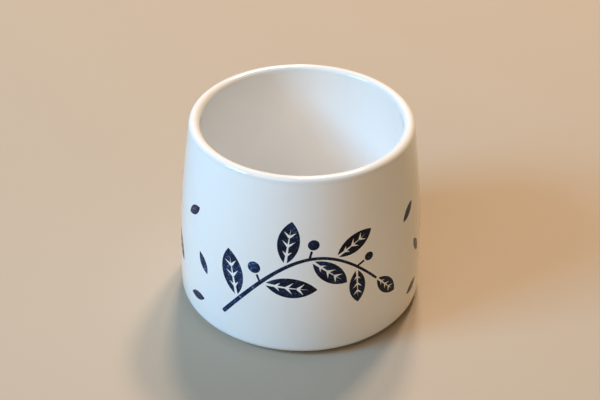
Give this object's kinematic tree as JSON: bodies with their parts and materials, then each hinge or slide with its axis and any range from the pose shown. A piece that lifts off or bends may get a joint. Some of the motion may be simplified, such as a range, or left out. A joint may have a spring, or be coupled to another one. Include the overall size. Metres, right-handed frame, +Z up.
{
  "type": "cup",
  "caption": "Handleless porcelain cup, widest at the base and narrower at a rounded lip, on a bare foot ring, with clear glaze and indigo leafy sprigs printed on the wall",
  "frame": {"origin": "centre of the foot ring, on the plane that the cup stands on", "axes": "+Z up along the cup's axis, -Y towards the side with the middle sprig"},
  "size_m": [0.088, 0.088, 0.071],
  "materials": {
    "fired_clay": "matte",
    "clear_glaze": "gloss",
    "indigo_print": "gloss"
  },
  "bodies": {
    "root": {"porcelain_body": "fired_clay", "inner_glaze": "clear_glaze", "outer_glaze": "clear_glaze", "foot_glaze": "clear_glaze", "sprig_stems": "indigo_print", "sprig_leaves": "indigo_print", "sprig_berries": "indigo_print", "loose_leaves": "indigo_print"}
  },
  "joints": []
}
